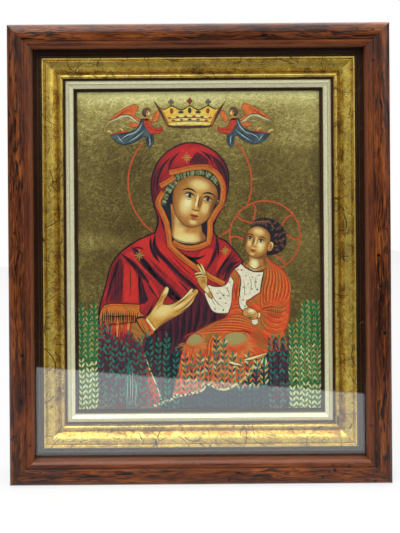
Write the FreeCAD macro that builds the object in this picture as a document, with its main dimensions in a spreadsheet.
import FreeCAD, Part
import math
import os
import Sketcher

# A devotional picture in a deep glazed wall frame, in millimetres.
# X runs to the viewer's right, Y from the front face to the back, and Z up.
# The origin is under the middle of the frame, halfway from its front face to its hanger's back.
#
# The frame is a stack of three mitred frames, one inside the other: a walnut outer frame that
# holds the glass, a gilt moulding behind the glass, and a silver slip that holds the picture board.
# Every section is drawn with X as the distance in from the frame's outer face and Y as the depth.

SIZES = {
    # Picture board, a stock size of gilded board
    "board_width": 200.0,
    "board_height": 260.0,
    "board_thick": 6.0,
    # Gaps that let one piece drop into another
    "fit_gap": 0.5,
    "glass_edge_gap": 1.0,
    "glass_clear": 0.5,
    "slip_gap": 0.3,
    # Flat pieces
    "glass_thick": 2.0,
    "spacer_width": 4.5,
    "spacer_thick": 4.0,
    "card_thick": 2.0,
    "backing_thick": 3.0,
    # Walnut rail: rounded outer edge, broad dome, fine groove and sight bead
    "rail_width": 18.5,
    "rabbet_width": 6.0,
    "lip_depth": 9.0,
    "edge_drop": 5.0,
    "shoulder_run": 3.0,
    "shoulder_drop": 0.7,
    "crown_run": 7.0,
    "dome_width": 13.0,
    "dome_drop": 1.6,
    "groove_width": 0.8,
    "groove_side": 0.25,
    "groove_drop": 2.1,
    "sight_bead_drop": 1.75,
    "sight_wall_drop": 5.5,
    # Gilt rail: dark ledge with a fine bead, fillet, cove, swell, groove, bead and dark flat
    "gilt_flange": 12.0,
    "ledge_bead_inset": 2.3,
    "ledge_bead_radius": 0.5,
    "ledge_rise": 0.8,
    "gilt_fillet": 1.1,
    "cove_width": 1.7,
    "cove_drop": 0.5,
    "cove_sag": 0.5,
    "swell_width": 7.8,
    "swell_drop": 4.3,
    "swell_rise": 0.9,
    "gilt_groove_width": 1.6,
    "gilt_groove_side": 0.4,
    "gilt_groove_drop": 1.0,
    "bead_width": 2.8,
    "bead_seat": 0.6,
    "bead_rise": 1.0,
    "bead_wall": 1.6,
    "gilt_flat": 1.5,
    "gilt_lip": 2.0,
    "gilt_rabbet": 3.5,
    # Silver slip: outer bevel, fine groove, inner bevel and two dark steps
    "slip_edge_rise": 0.9,
    "slip_outer_bevel": 2.8,
    "slip_ridge_rise": 2.6,
    "slip_vee_width": 0.8,
    "slip_vee_depth": 0.8,
    "slip_vee_fall": 0.3,
    "slip_inner_bevel": 2.4,
    "slip_inner_drop": 1.9,
    "slip_step_width": 1.1,
    "slip_first_drop": 2.4,
    "slip_second_drop": 1.8,
    "slip_lip": 1.6,
    "slip_rabbet": 3.5,
    # Corner nails, bent strips pressed in from the back
    "nail_thick": 0.6,
    "nail_inset": 4.0,
    "nail_pitch": 4.5,
    "nail_leg": 5.0,
    "nail_height": 10.0,
    "gilt_nail_inset": 8.0,
    "gilt_nail_leg": 8.0,
    "gilt_nail_height": 8.0,
    # Turn buttons that hold the back in
    "button_inset": 6.5,
    "button_gap": 0.2,
    "button_thick": 1.2,
    "button_eye_radius": 5.0,
    "button_tip_radius": 3.0,
    "button_tip_reach": 14.0,
    "button_hole_gap": 0.08,
    # Wood screws
    "screw_radius": 1.5,
    "screw_length": 12.0,
    "screw_point": 2.5,
    "screw_head_radius": 3.0,
    "screw_head_rim": 0.6,
    "screw_head_height": 1.8,
    # Hanger: a folded strap whose eye holds a wire ring
    "hinge_inset": 2.9,
    "hinge_to_screw": 5.4,
    "strap_below_screw": 4.0,
    "strap_width": 10.0,
    "strap_layer": 1.0,
    "strap_corner": 3.5,
    "sink_head_radius": 2.9,
    "ring_wire_radius": 1.0,
    "ring_wire_gap": 0.1,
    "ring_half_width": 8.0,
    "ring_corner": 2.5,
    "ring_side": 1.5,
    # Rubber bumpers that keep the frame off the wall
    "bumper_radius": 4.5,
    "bumper_height": 3.0,
    "bumper_round": 0.8,
    "bumper_from_side": 26.0,
    # How far a cut runs past the wood
    "cut_overrun": 5.0,
}

# Turn buttons stand at mid height and this share of the frame's height above and below it.
BUTTON_PITCH_SHARE = 0.3
BUTTON_ROWS = 3
QUARTER_TURN = 90.0

# Which point of a piece of sketch geometry a constraint holds, and the sketch's own origin
START_INDEX, END_INDEX, CENTRE_INDEX = 1, 2, 3
ORIGIN_INDEXES = (-1, 1)

# An arc of an outline swells out of it or is hollow.
OUT, IN = "out", "in"

# Two places nearer than this are the same.
SAME_PLACE_TOLERANCE = 1e-6

os.makedirs("parts", exist_ok=True)
doc = FreeCAD.newDocument("framed_icon")
sheet = doc.addObject("Spreadsheet::Sheet", "sizes")
for row, (size_name, size) in enumerate(SIZES.items(), start=1):
    sheet.set(f"A{row}", size_name)
    sheet.set(f"B{row}", str(size))
    sheet.setAlias(f"B{row}", size_name)
doc.recompute()

# Distances in from the frame's outer face
RABBET_WALL = "(sizes.rail_width - sizes.rabbet_width)"
GLASS_START = f"({RABBET_WALL} + sizes.glass_edge_gap)"
GILT_START = f"({RABBET_WALL} + sizes.fit_gap)"
GILT_FACE = f"({GILT_START} + sizes.gilt_flange)"
COVE_START = f"({GILT_FACE} + sizes.gilt_fillet)"
SWELL_START = f"({COVE_START} + sizes.cove_width)"
SWELL_END = f"({SWELL_START} + sizes.swell_width)"
BEAD_START = f"({SWELL_END} + sizes.gilt_groove_width)"
BEAD_END = f"({BEAD_START} + sizes.bead_width)"
GILT_END = f"({BEAD_END} + sizes.gilt_flat)"
SLIP_START = f"({GILT_END} - sizes.gilt_rabbet + sizes.fit_gap)"
SLIP_FACE = f"({GILT_END} + sizes.slip_gap)"
SLIP_RIDGE = f"({SLIP_FACE} + sizes.slip_outer_bevel)"
SLIP_VEE_END = f"({SLIP_RIDGE} + sizes.slip_vee_width)"
SLIP_STEP = f"({SLIP_VEE_END} + sizes.slip_inner_bevel)"
SLIP_END = f"({SLIP_STEP} + 2 * sizes.slip_step_width)"
SLIP_WALL = f"({SLIP_END} - sizes.slip_rabbet)"
BOARD_START = f"({SLIP_WALL} + sizes.fit_gap)"
FRAME_WIDTH = f"(sizes.board_width + 2 * {BOARD_START})"
FRAME_HEIGHT = f"(sizes.board_height + 2 * {BOARD_START})"

# Depths behind the front face
SPACER_FRONT = "(sizes.lip_depth + sizes.glass_thick)"
LEDGE = f"({SPACER_FRONT} + sizes.spacer_thick)"
GILT_TOP = f"({SPACER_FRONT} + sizes.glass_clear)"
SWELL_TOP = f"({GILT_TOP} + sizes.cove_drop)"
SWELL_FOOT = f"({SWELL_TOP} + sizes.swell_drop)"
BEAD_FOOT = f"({SWELL_FOOT} + sizes.bead_seat)"
GILT_FLAT = f"({BEAD_FOOT} + sizes.bead_wall)"
SLIP_FRONT = f"({GILT_FLAT} + sizes.gilt_lip)"
SLIP_EDGE = f"({SLIP_FRONT} - sizes.slip_edge_rise)"
SLIP_TOP = f"({SLIP_EDGE} - sizes.slip_ridge_rise)"
SLIP_SECOND_TOP = f"({SLIP_TOP} + sizes.slip_vee_fall)"
SLIP_BEVEL_FOOT = f"({SLIP_SECOND_TOP} + sizes.slip_inner_drop)"
SLIP_FIRST_STEP = f"({SLIP_BEVEL_FOOT} + sizes.slip_first_drop)"
SLIP_SECOND_STEP = f"({SLIP_FIRST_STEP} + sizes.slip_second_drop)"
BOARD_FRONT = f"({SLIP_SECOND_STEP} + sizes.slip_lip)"
CARD_FRONT = f"({BOARD_FRONT} + sizes.board_thick)"
BACKING_FRONT = f"({CARD_FRONT} + sizes.card_thick)"
RAIL_BACK = f"({BACKING_FRONT} + sizes.backing_thick)"

# The hanger's eye goes round the ring's wire, and the frame is centred on the depth that it adds.
EYE_HOLE = "(sizes.ring_wire_radius + sizes.ring_wire_gap)"
EYE_RADIUS = f"({EYE_HOLE} + sizes.strap_layer)"
FRONT_Y = f"(-({RAIL_BACK} + 2 * {EYE_RADIUS}) / 2)"
BACK_Y = f"({FRONT_Y} + {RAIL_BACK})"
BUTTON_PITCH = f"({FRAME_HEIGHT} * {BUTTON_PITCH_SHARE})"

pieces = []


def number(expression):
    """The value of an expression that names cells of the sheet."""
    return float(sheet.evalExpression(expression))


def keep(item, name):
    """Names a finished sub-part and lists it for export."""
    item.Label = name
    pieces.append(item)
    return item


def place(item, across="0", depth=FRONT_Y, height="0", turn=0.0):
    """Puts a sub-part where three expressions say, turned about the Y axis."""
    item.Placement = FreeCAD.Placement(FreeCAD.Vector(), FreeCAD.Rotation(FreeCAD.Vector(0, 1, 0), turn))
    item.setExpression("Placement.Base.x", across)
    item.setExpression("Placement.Base.y", depth)
    item.setExpression("Placement.Base.z", height)


def origin_feature(body, role):
    """One of a body's own origin planes or axes."""
    return next(feature for feature in body.Origin.OriginFeatures if feature.Role == role)


def new_sketch(body, name, plane, lift="0"):
    """A sketch on one of the body's origin planes, moved along the plane's normal by lift."""
    sketch = body.newObject("Sketcher::SketchObject", name)
    sketch.AttachmentSupport = [(origin_feature(body, plane), "")]
    sketch.MapMode = "FlatFace"
    sketch.setExpression("AttachmentOffset.Base.z", lift)
    return sketch


def bind(sketch, expression, *constraint):
    """Adds a constraint whose value follows an expression."""
    index = sketch.addConstraint(Sketcher.Constraint(*constraint, number(expression)))
    sketch.setExpression(f"Constraints[{index}]", expression)


def pin(sketch, piece, end, across, up):
    """Ties one point of a piece of geometry to a place given by two expressions."""
    bind(sketch, across, "DistanceX", *ORIGIN_INDEXES, piece, end)
    bind(sketch, up, "DistanceY", *ORIGIN_INDEXES, piece, end)


def arc_middle(start, end, radius, bulge):
    """The middle point of a shallow arc that bulges to the right of its travel, or left if bulge is negative."""
    chord = end - start
    sagitta = radius - math.sqrt(max(radius ** 2 - (chord.Length / 2) ** 2, 0))
    aside = FreeCAD.Vector(chord.y, -chord.x, 0).normalize()
    return (start + end) / 2 + aside * sagitta * bulge


def draw_outline(sketch, corners):
    """Draws a closed outline through corners, each (across, up) or (across, up, radius, OUT or IN).

    A corner with a radius starts an arc to the next corner, and any other starts a straight run.
    """
    points = [FreeCAD.Vector(number(corner[0]), number(corner[1]), 0) for corner in corners]
    following = points[1:] + points[:1]
    turning = sum(a.x * b.y - b.x * a.y for a, b in zip(points, following))
    handedness = math.copysign(1, turning)
    ends = []
    for corner, start, end in zip(corners, points, following):
        if len(corner) == 2:
            piece = sketch.addGeometry(Part.LineSegment(start, end), False)
        else:
            bulge = handedness if corner[3] == OUT else -handedness
            middle = arc_middle(start, end, number(corner[2]), bulge)
            piece = sketch.addGeometry(Part.Arc(start, middle, end), False)
        first_point = sketch.getPoint(piece, START_INDEX)
        forward = first_point.distanceToPoint(start) < first_point.distanceToPoint(end)
        ends.append((piece, START_INDEX, END_INDEX) if forward else (piece, END_INDEX, START_INDEX))
    for corner, (piece, first, last), (next_piece, next_first, _) in zip(corners, ends, ends[1:] + ends[:1]):
        pin(sketch, piece, first, corner[0], corner[1])
        sketch.addConstraint(Sketcher.Constraint("Coincident", piece, last, next_piece, next_first))
        if len(corner) > 2:
            bind(sketch, corner[2], "Radius", piece)


def draw_circle(sketch, across, up, radius):
    """Draws a circle whose centre and radius follow expressions."""
    centre = FreeCAD.Vector(number(across), number(up), 0)
    piece = sketch.addGeometry(Part.Circle(centre, FreeCAD.Vector(0, 0, 1), number(radius)), False)
    pin(sketch, piece, CENTRE_INDEX, across, up)
    bind(sketch, radius, "Radius", piece)


def radius_from_level(run, drop):
    """Radius of an arc that starts level and falls by drop over run."""
    return f"((({run})^2 + ({drop})^2) / (2 * ({drop})))"


def radius_from_rise(run, drop, rise):
    """Radius of an arc over a chord of run and drop whose middle stands rise off the chord."""
    return f"(((({run})^2 + ({drop})^2) / 4 + ({rise})^2) / (2 * ({rise})))"


def pad(body, sketch, length, symmetric=False):
    """Gives a sketch its thickness."""
    feature = body.newObject("PartDesign::Pad", "thickness")
    feature.Profile = (sketch, [])
    feature.setExpression("Length", length)
    feature.SideType = "Symmetric" if symmetric else "One side"
    doc.recompute()
    return feature


def pocket(body, sketch, depth=None):
    """Cuts a sketch into its body, from the back towards the front, or right through with no depth."""
    before = body.Shape.Volume
    feature = body.newObject("PartDesign::Pocket", "cut")
    feature.Profile = (sketch, [])
    if depth is None:
        feature.Type = "ThroughAll"
        feature.SideType = "Symmetric"
    else:
        feature.setExpression("Length", depth)
        feature.Reversed = True
    doc.recompute()
    if not body.Shape.Volume < before:
        raise RuntimeError(f"{sketch.Label} cuts nothing from {body.Label}")
    return feature


def revolve(body, sketch, axis):
    """Turns a sketch about one of its own axes into a solid."""
    feature = body.newObject("PartDesign::Revolution", "turning")
    feature.Profile = (sketch, [])
    feature.ReferenceAxis = (sketch, [axis])
    doc.recompute()
    return feature


def repeat(body, originals, *changes):
    """Repeats features by mirrors and patterns taken together, and makes the result the body's tip."""
    feature = body.newObject("PartDesign::MultiTransform", "repeats")
    feature.Originals = originals
    feature.Transformations = list(changes)
    body.Tip = feature
    doc.recompute()


def mirror(body, plane):
    """A mirror about one of the body's origin planes, for repeat."""
    feature = body.newObject("PartDesign::Mirrored", "mirror")
    feature.MirrorPlane = (origin_feature(body, plane), [""])
    return feature


# The walnut rail's section, from its back outer corner round by the front
WALNUT_SECTION = [
    ("0", RAIL_BACK),
    ("0", "sizes.edge_drop", radius_from_level("sizes.edge_drop - sizes.shoulder_drop", "sizes.shoulder_run"), OUT),
    ("sizes.shoulder_run", "sizes.shoulder_drop",
     radius_from_level("sizes.crown_run - sizes.shoulder_run", "sizes.shoulder_drop"), OUT),
    ("sizes.crown_run", "0",
     radius_from_level("sizes.dome_width - sizes.crown_run", "sizes.dome_drop"), OUT),
    ("sizes.dome_width", "sizes.dome_drop"),
    ("sizes.dome_width + sizes.groove_side", "sizes.groove_drop"),
    ("sizes.dome_width + sizes.groove_width - sizes.groove_side", "sizes.groove_drop"),
    ("sizes.dome_width + sizes.groove_width", "sizes.sight_bead_drop",
     radius_from_level("sizes.sight_wall_drop - sizes.sight_bead_drop",
                       "sizes.rail_width - sizes.dome_width - sizes.groove_width"), OUT),
    ("sizes.rail_width", "sizes.sight_wall_drop"),
    ("sizes.rail_width", "sizes.lip_depth"),
    (RABBET_WALL, "sizes.lip_depth"),
    (RABBET_WALL, RAIL_BACK),
]

# The strip that holds the glass off the gilt moulding
SPACER_SECTION = [
    (GILT_START, LEDGE),
    (GILT_START, SPACER_FRONT),
    (f"{GILT_START} + sizes.spacer_width", SPACER_FRONT),
    (f"{GILT_START} + sizes.spacer_width", LEDGE),
]

LEDGE_BEAD_START = f"({GILT_FACE} - sizes.ledge_bead_inset)"
LEDGE_BEAD_END = f"({LEDGE_BEAD_START} + 2 * sizes.ledge_bead_radius)"

# The gilt rail's section: ledge and fine bead, then the gilded face down to the dark flat
GILT_SECTION = [
    (GILT_START, CARD_FRONT),
    (GILT_START, LEDGE),
    (LEDGE_BEAD_START, LEDGE, "sizes.ledge_bead_radius", OUT),
    (f"{LEDGE_BEAD_START} + sizes.ledge_bead_radius", f"{LEDGE} - sizes.ledge_bead_radius",
     "sizes.ledge_bead_radius", OUT),
    (LEDGE_BEAD_END, LEDGE),
    (LEDGE_BEAD_END, f"{LEDGE} - sizes.ledge_rise"),
    (GILT_FACE, f"{LEDGE} - sizes.ledge_rise"),
    (GILT_FACE, GILT_TOP),
    (COVE_START, GILT_TOP, radius_from_rise("sizes.cove_width", "sizes.cove_drop", "sizes.cove_sag"), IN),
    (SWELL_START, SWELL_TOP, radius_from_rise("sizes.swell_width", "sizes.swell_drop", "sizes.swell_rise"), OUT),
    (SWELL_END, SWELL_FOOT),
    (f"{SWELL_END} + sizes.gilt_groove_side", f"{SWELL_FOOT} + sizes.gilt_groove_drop"),
    (f"{BEAD_START} - sizes.gilt_groove_side", f"{SWELL_FOOT} + sizes.gilt_groove_drop"),
    (BEAD_START, BEAD_FOOT, radius_from_rise("sizes.bead_width", "0", "sizes.bead_rise"), OUT),
    (BEAD_END, BEAD_FOOT),
    (BEAD_END, GILT_FLAT),
    (GILT_END, GILT_FLAT),
    (GILT_END, SLIP_FRONT),
    (f"{GILT_END} - sizes.gilt_rabbet", SLIP_FRONT),
    (f"{GILT_END} - sizes.gilt_rabbet", CARD_FRONT),
]

# The silver slip's section: flange, two bevels with a fine groove between them, and the dark steps
SLIP_SECTION = [
    (SLIP_START, CARD_FRONT),
    (SLIP_START, SLIP_FRONT),
    (SLIP_FACE, SLIP_FRONT),
    (SLIP_FACE, SLIP_EDGE),
    (SLIP_RIDGE, SLIP_TOP),
    (f"{SLIP_RIDGE} + sizes.slip_vee_width / 2", f"{SLIP_TOP} + sizes.slip_vee_depth"),
    (SLIP_VEE_END, SLIP_SECOND_TOP),
    (SLIP_STEP, SLIP_BEVEL_FOOT),
    (SLIP_STEP, SLIP_FIRST_STEP),
    (f"{SLIP_STEP} + sizes.slip_step_width", SLIP_FIRST_STEP),
    (f"{SLIP_STEP} + sizes.slip_step_width", SLIP_SECOND_STEP),
    (SLIP_END, SLIP_SECOND_STEP),
    (SLIP_END, BOARD_FRONT),
    (SLIP_WALL, BOARD_FRONT),
    (SLIP_WALL, CARD_FRONT),
]


def nail_slots(body, half_length, insets, leg, height, back):
    """Cuts the half of each corner nail's slot that lies in this rail, at its upper end."""
    sketch = new_sketch(body, "nail_slots", "XZ_Plane", f"-{back}")
    for inset in insets:
        low, high = (f"{inset} - sizes.nail_thick / 2", f"{inset} + sizes.nail_thick / 2")
        foot, top = (f"{half_length} - {inset} - {leg}", f"{half_length} + sizes.cut_overrun")
        draw_outline(sketch, [(low, foot), (high, foot), (high, top), (low, top)])
    return pocket(body, sketch, height)


def mitred_rail(name, section, start, end, long_side, nails=None):
    """One rail of a mitred frame, drawn upright about its middle, with 45 degree ends.

    start and end are its section's distances in from the frame's outer face, long_side is the
    frame's outer length along the rail, and nails are the arguments of nail_slots.
    """
    body = doc.addObject("PartDesign::Body", name)
    sketch = new_sketch(body, "section", "XY_Plane")
    draw_outline(sketch, section)
    pad(body, sketch, f"{long_side} - 2 * {start}", symmetric=True)
    half_length = f"({long_side} / 2)"
    mitre = new_sketch(body, "mitre", "XZ_Plane")
    draw_outline(mitre, [
        (f"{start} - sizes.cut_overrun", f"{half_length} - {start} + sizes.cut_overrun"),
        (f"{end} + sizes.cut_overrun", f"{half_length} - {end} - sizes.cut_overrun"),
        (f"{end} + sizes.cut_overrun", f"{half_length} - {start} + sizes.cut_overrun"),
    ])
    cuts = [pocket(body, mitre)]
    if nails:
        cuts.append(nail_slots(body, half_length, *nails))
    repeat(body, cuts, mirror(body, "XY_Plane"))
    return keep(body, name)


def mitred_frame(name, section, start, end, nails=None):
    """Four mitred rails round the frame, by side."""
    sides = {
        "left": (f"-{FRAME_WIDTH} / 2", f"{FRAME_HEIGHT} / 2", 0, FRAME_HEIGHT),
        "right": (f"{FRAME_WIDTH} / 2", f"{FRAME_HEIGHT} / 2", 2 * QUARTER_TURN, FRAME_HEIGHT),
        "top": ("0", FRAME_HEIGHT, QUARTER_TURN, FRAME_WIDTH),
        "bottom": ("0", "0", -QUARTER_TURN, FRAME_WIDTH),
    }
    rails = {}
    for side, (across, height, turn, long_side) in sides.items():
        rails[side] = mitred_rail(f"{name}_{side}", section, start, end, long_side, nails)
        place(rails[side], across, height=height, turn=turn)
    return rails


def drill(rail, centres):
    """Drills screw holes into a rail's back, at (distance in, distance along) expressions."""
    sketch = new_sketch(rail, "screw_holes", "XZ_Plane", f"-{RAIL_BACK}")
    for across, along in centres:
        draw_circle(sketch, across, along, "sizes.screw_radius")
    pocket(rail, sketch, "sizes.screw_length")


def panel(name, start, front, thick):
    """A flat pane or board whose edges lie start in from the frame's outer face."""
    box = doc.addObject("Part::Box", name)
    box.setExpression("Length", f"{FRAME_WIDTH} - 2 * {start}")
    box.setExpression("Width", thick)
    box.setExpression("Height", f"{FRAME_HEIGHT} - 2 * {start}")
    place(box, f"{start} - {FRAME_WIDTH} / 2", f"{FRONT_Y} + {front}", start)
    return keep(box, name)


def corner_nails(name, insets, leg, height, back):
    """Bent strips across each mitre, pressed in flush with the back of their frame."""
    body = doc.addObject("PartDesign::Body", name)
    sketch = new_sketch(body, "strips", "XZ_Plane")
    for inset in insets:
        right, top = (f"({FRAME_WIDTH} / 2 - {inset})", f"({FRAME_HEIGHT} / 2 - {inset})")
        half = "sizes.nail_thick / 2"
        draw_outline(sketch, [
            (f"{right} + {half}", f"{top} + {half}"),
            (f"{right} - {leg}", f"{top} + {half}"),
            (f"{right} - {leg}", f"{top} - {half}"),
            (f"{right} - {half}", f"{top} - {half}"),
            (f"{right} - {half}", f"{top} - {leg}"),
            (f"{right} + {half}", f"{top} - {leg}"),
        ])
    strips = pad(body, sketch, height)
    repeat(body, [strips], mirror(body, "YZ_Plane"), mirror(body, "XY_Plane"))
    place(body, depth=f"{FRONT_Y} + {back}", height=f"{FRAME_HEIGHT} / 2")
    return keep(body, name)


def turn_button(name, across, height, turn):
    """A flat steel button that turns on its screw and reaches over the backing board."""
    body = doc.addObject("PartDesign::Body", name)
    sketch = new_sketch(body, "outline", "XZ_Plane", "-(sizes.button_gap + sizes.button_thick)")
    eye, tip, reach = ("sizes.button_eye_radius", "sizes.button_tip_radius", "sizes.button_tip_reach")
    lean = f"(({eye} - {tip}) / {reach})"
    upright = f"sqrt(1 - {lean}^2)"
    draw_outline(sketch, [
        (f"-{eye}", "0", eye, OUT),
        (f"{eye} * {lean}", f"-{eye} * {upright}"),
        (f"{reach} + {tip} * {lean}", f"-{tip} * {upright}", tip, OUT),
        (f"{reach} + {tip} * {lean}", f"{tip} * {upright}"),
        (f"{eye} * {lean}", f"{eye} * {upright}", eye, OUT),
    ])
    draw_circle(sketch, "0", "0", "sizes.screw_radius + sizes.button_hole_gap")
    pad(body, sketch, "sizes.button_thick")
    place(body, across, BACK_Y, height, turn)
    return keep(body, name)


def turn_buttons():
    """Three turn buttons down each upright rail."""
    inset = f"({FRAME_WIDTH} / 2 - sizes.button_inset)"
    for side, across, turn in (("left", f"-{inset}", 0), ("right", inset, 2 * QUARTER_TURN)):
        for row, level in enumerate(("low", "mid", "high")):
            height = f"{FRAME_HEIGHT} / 2 + {row - 1} * {BUTTON_PITCH}"
            turn_button(f"turn_button_{side}_{level}", across, height, turn)


def turn_button_screws():
    """The six pan-head screws that the turn buttons swing on, as one group of solids."""
    body = doc.addObject("PartDesign::Body", "turn_button_screws")
    centre = f"({FRAME_WIDTH} / 2 - sizes.button_inset)"
    seat = "(2 * sizes.button_gap + sizes.button_thick)"
    dome = radius_from_level("sizes.screw_head_radius", "sizes.screw_head_height - sizes.screw_head_rim")
    sketch = new_sketch(body, "half_section", "XY_Plane", f"-{BUTTON_PITCH}")
    draw_outline(sketch, [
        (centre, "-sizes.screw_length"),
        (f"{centre} + sizes.screw_radius", "sizes.screw_point - sizes.screw_length"),
        (f"{centre} + sizes.screw_radius", seat),
        (f"{centre} + sizes.screw_head_radius", seat),
        (f"{centre} + sizes.screw_head_radius", f"{seat} + sizes.screw_head_rim", dome, OUT),
        (centre, f"{seat} + sizes.screw_head_height"),
    ])
    axis = sketch.addGeometry(Part.LineSegment(FreeCAD.Vector(number(centre), 0, 0),
                                               FreeCAD.Vector(number(centre), number(seat), 0)), True)
    pin(sketch, axis, START_INDEX, centre, "0")
    pin(sketch, axis, END_INDEX, centre, seat)
    screw = revolve(body, sketch, "Axis0")
    rows = body.newObject("PartDesign::LinearPattern", "rows")
    rows.Direction = (origin_feature(body, "Z_Axis"), [""])
    rows.setExpression("Length", f"{BUTTON_ROWS - 1} * {BUTTON_PITCH}")
    rows.Occurrences = BUTTON_ROWS
    repeat(body, [screw], mirror(body, "YZ_Plane"), rows)
    place(body, depth=BACK_Y, height=f"{FRAME_HEIGHT} / 2")
    return keep(body, "turn_button_screws")


SCREW_TO_TOP = "(sizes.hinge_inset + sizes.hinge_to_screw)"
SINK_DEPTH = "(sizes.sink_head_radius - sizes.screw_radius)"
STRAP_THICK = "(2 * sizes.strap_layer)"


def hanger_strap():
    """A strap folded round the ring's bar, with its countersunk hole on the body's Y axis."""
    body = doc.addObject("PartDesign::Body", "hanger_strap")
    sketch = new_sketch(body, "side_view", "YZ_Plane")
    tail = "-sizes.strap_below_screw"
    draw_outline(sketch, [
        ("0", tail),
        ("0", "sizes.hinge_to_screw", EYE_RADIUS, OUT),
        (EYE_RADIUS, f"sizes.hinge_to_screw + {EYE_RADIUS}", EYE_RADIUS, OUT),
        (f"2 * {EYE_RADIUS}", "sizes.hinge_to_screw", EYE_RADIUS, OUT),
        (STRAP_THICK, f"sizes.hinge_to_screw - 2 * sqrt(sizes.strap_layer * {EYE_HOLE})"),
        (STRAP_THICK, tail),
    ])
    draw_circle(sketch, EYE_RADIUS, "sizes.hinge_to_screw", EYE_HOLE)
    pad(body, sketch, "sizes.strap_width", symmetric=True)
    hole = new_sketch(body, "countersink", "YZ_Plane")
    draw_outline(hole, [
        ("-sizes.cut_overrun", "0"),
        ("-sizes.cut_overrun", "sizes.screw_radius"),
        (f"{STRAP_THICK} - {SINK_DEPTH}", "sizes.screw_radius"),
        (STRAP_THICK, "sizes.sink_head_radius"),
        (f"{STRAP_THICK} + sizes.cut_overrun", "sizes.sink_head_radius"),
        (f"{STRAP_THICK} + sizes.cut_overrun", "0"),
    ])
    before = body.Shape.Volume
    sink = body.newObject("PartDesign::Groove", "countersink_cut")
    sink.Profile = (hole, [])
    sink.ReferenceAxis = (hole, ["H_Axis"])
    doc.recompute()
    if not body.Shape.Volume < before:
        raise RuntimeError("the strap has no screw hole")
    low = number(tail)
    corners = [f"Edge{index}" for index, edge in enumerate(sink.Shape.Edges, start=1)
               if all(abs(vertex.Z - low) < SAME_PLACE_TOLERANCE for vertex in edge.Vertexes)
               and abs(edge.Vertexes[0].X - edge.Vertexes[-1].X) < SAME_PLACE_TOLERANCE]
    rounded = body.newObject("PartDesign::Fillet", "rounded_end")
    rounded.Base = (sink, corners)
    rounded.setExpression("Radius", "sizes.strap_corner")
    doc.recompute()
    place(body, depth=BACK_Y, height=f"{FRAME_HEIGHT} - {SCREW_TO_TOP}")
    return keep(body, "hanger_strap")


def hanger_screw():
    """The countersunk screw that holds the strap, flush with its outer layer."""
    body = doc.addObject("PartDesign::Body", "hanger_screw")
    sketch = new_sketch(body, "half_section", "XY_Plane")
    draw_outline(sketch, [
        ("0", "-sizes.screw_length"),
        ("sizes.screw_radius", "sizes.screw_point - sizes.screw_length"),
        ("sizes.screw_radius", f"{STRAP_THICK} - {SINK_DEPTH}"),
        ("sizes.sink_head_radius", STRAP_THICK),
        ("0", STRAP_THICK),
    ])
    revolve(body, sketch, "V_Axis")
    place(body, depth=BACK_Y, height=f"{FRAME_HEIGHT} - {SCREW_TO_TOP}")
    return keep(body, "hanger_screw")


def hanger_ring():
    """A D-shaped wire ring whose straight bar turns in the strap's eye. At rest it hangs down."""
    body = doc.addObject("PartDesign::Body", "hanger_ring")
    path = new_sketch(body, "wire_line", "XZ_Plane")
    half, corner = ("sizes.ring_half_width", "sizes.ring_corner")
    side_end = f"(-{corner} - sizes.ring_side)"
    draw_outline(path, [
        ("0", "0"),
        (f"{half} - {corner}", "0", corner, OUT),
        (half, f"-{corner}"),
        (half, side_end, half, OUT),
        ("0", f"{side_end} - {half}", half, OUT),
        (f"-{half}", side_end),
        (f"-{half}", f"-{corner}", corner, OUT),
        (f"{corner} - {half}", "0"),
    ])
    wire = new_sketch(body, "wire_section", "YZ_Plane")
    draw_circle(wire, "0", "0", "sizes.ring_wire_radius")
    sweep = body.newObject("PartDesign::AdditivePipe", "ring_wire")
    sweep.Profile = (wire, [])
    sweep.Spine = (path, [])
    doc.recompute()
    place(body, depth=f"{BACK_Y} + {EYE_RADIUS}", height=f"{FRAME_HEIGHT} - sizes.hinge_inset")
    return keep(body, "hanger_ring")


def wall_bumper(name, across):
    """A round rubber pad stuck on the back of the bottom rail."""
    body = doc.addObject("PartDesign::Body", name)
    sketch = new_sketch(body, "half_section", "XY_Plane")
    rim = "sizes.bumper_radius - sizes.bumper_round"
    draw_outline(sketch, [
        ("0", "0"),
        ("sizes.bumper_radius", "0"),
        ("sizes.bumper_radius", "sizes.bumper_height - sizes.bumper_round", "sizes.bumper_round", OUT),
        (rim, "sizes.bumper_height"),
        ("0", "sizes.bumper_height"),
    ])
    revolve(body, sketch, "V_Axis")
    place(body, across, BACK_Y, f"{RABBET_WALL} / 2")
    return keep(body, name)


def check_model():
    """Stops if a feature failed or a sub-part's shape is missing or bad."""
    doc.recompute()
    for item in doc.Objects:
        if "Invalid" in item.State or "Error" in item.State:
            raise RuntimeError(f"{item.Label} is {item.State}")
    for item in pieces:
        if item.Shape.isNull() or not item.Shape.isValid():
            raise RuntimeError(f"{item.Label} has no valid shape")


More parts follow.
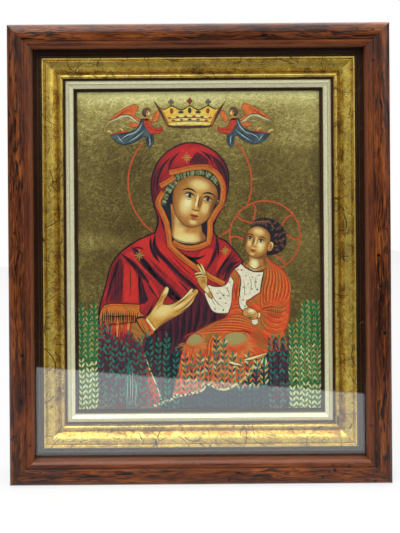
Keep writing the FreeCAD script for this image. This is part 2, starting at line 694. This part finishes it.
# The three frames, one inside the other
OUTER_NAIL_INSETS = ("sizes.nail_inset", "(sizes.nail_inset + sizes.nail_pitch)")
OUTER_NAILS = (OUTER_NAIL_INSETS, "sizes.nail_leg", "sizes.nail_height", RAIL_BACK)
GILT_NAILS = ((f"({GILT_START} + sizes.gilt_nail_inset)",), "sizes.gilt_nail_leg",
              "sizes.gilt_nail_height", CARD_FRONT)

walnut = mitred_frame("walnut_rail", WALNUT_SECTION, "0", "sizes.rail_width", OUTER_NAILS)
mitred_frame("glass_spacer", SPACER_SECTION, GILT_START, f"({GILT_START} + sizes.spacer_width)")
mitred_frame("gilt_rail", GILT_SECTION, GILT_START, GILT_END, GILT_NAILS)
mitred_frame("slip_rail", SLIP_SECTION, SLIP_START, SLIP_END)
corner_nails("outer_corner_nails", *OUTER_NAILS)
corner_nails("gilt_corner_nails", *GILT_NAILS)

# Flat pieces, from the front to the back
panel("glass_pane", GLASS_START, "sizes.lip_depth", "sizes.glass_thick")
panel("icon_board", BOARD_START, BOARD_FRONT, "sizes.board_thick")
panel("filler_card", GILT_START, CARD_FRONT, "sizes.card_thick")
panel("backing_board", GILT_START, BACKING_FRONT, "sizes.backing_thick")

# Fittings on the back
for upright in ("left", "right"):
    drill(walnut[upright], [("sizes.button_inset", f"{row} * {BUTTON_PITCH}") for row in (-1, 0, 1)])
drill(walnut["top"], [(SCREW_TO_TOP, "0")])
turn_buttons()
turn_button_screws()
hanger_strap()
hanger_screw()
hanger_ring()
wall_bumper("wall_bumper_left", f"sizes.bumper_from_side - {FRAME_WIDTH} / 2")
wall_bumper("wall_bumper_right", f"{FRAME_WIDTH} / 2 - sizes.bumper_from_side")

check_model()
for item in pieces:
    item.Shape.exportStep(f"parts/{item.Label}.step")
    solids = len(item.Shape.Solids)
    print(f"{item.Label}: {solids} solids, {item.Shape.Volume:.1f} mm3")
print(f"frame {number(FRAME_WIDTH):.1f} x {number(FRAME_HEIGHT):.1f} mm, rails {number(RAIL_BACK):.1f} mm deep")
